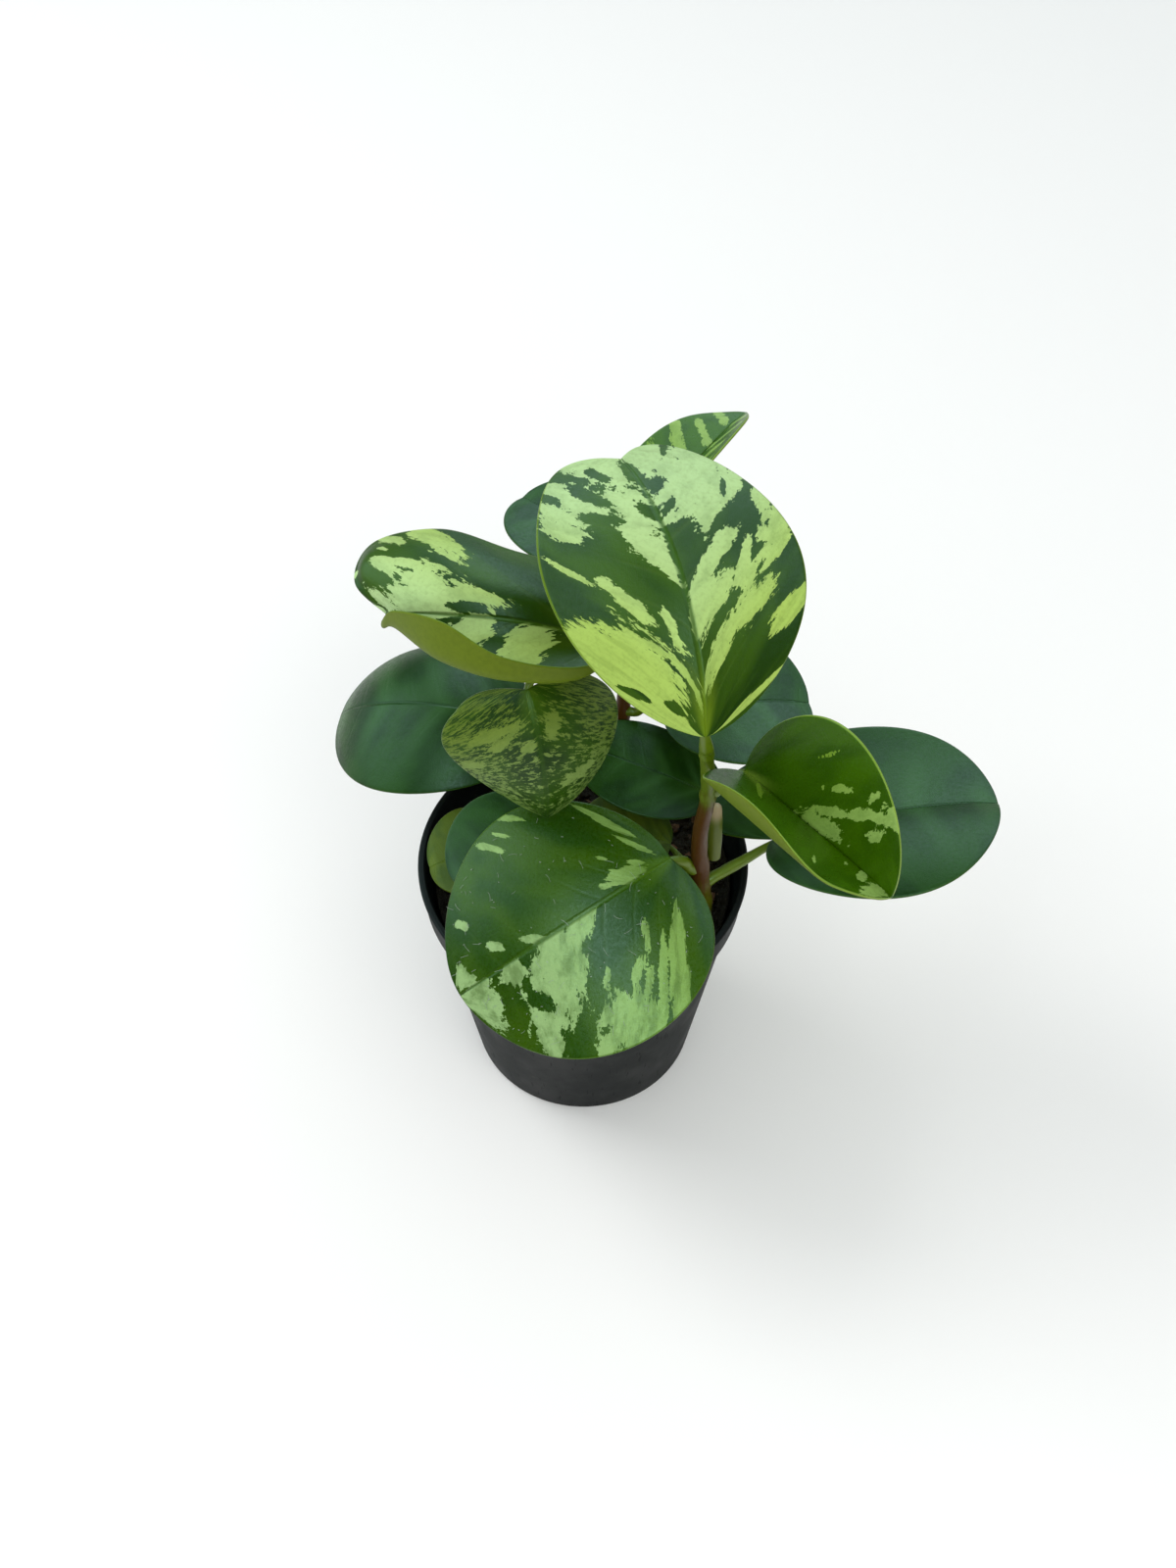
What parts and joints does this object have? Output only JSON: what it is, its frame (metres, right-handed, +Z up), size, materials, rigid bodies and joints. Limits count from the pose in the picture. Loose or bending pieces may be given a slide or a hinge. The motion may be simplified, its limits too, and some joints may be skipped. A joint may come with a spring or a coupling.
{
  "type": "potted peperomia",
  "caption": "Small marbled peperomia with rounded leathery leaves on short stems, standing in a tapered round nursery pot filled with dark soil.",
  "frame": {"origin": "centre of the pot's flat underside, where it rests", "axes": "+Z up along the pot's axis; -Y towards the side seen in the picture; +X to the right in the picture"},
  "size_m": [0.1993, 0.176, 0.2125],
  "materials": {
    "pot_plastic": "satin",
    "soil": "matte",
    "stem": "satin",
    "leaf_marbled": "gloss",
    "leaf_green": "gloss"
  },
  "bodies": {
    "root": {"pot": "pot_plastic", "soil": "soil", "stem_right": "stem", "stem_left": "stem", "stem_back": "stem", "side_shoot": "stem", "leaf_crown": "leaf_marbled", "leaf_upper_left": "leaf_marbled", "leaf_middle": "leaf_marbled", "leaf_front": "leaf_marbled", "leaf_right": "leaf_marbled", "leaf_far_right": "leaf_green", "leaf_far_left": "leaf_green", "leaf_back_right": "leaf_green", "leaf_back_top": "leaf_marbled", "leaf_back_left": "leaf_green", "leaf_low_left": "leaf_green", "leaf_low_front": "leaf_green", "leaf_low_middle": "leaf_green", "leaf_middle_back": "leaf_green"}
  },
  "joints": []
}
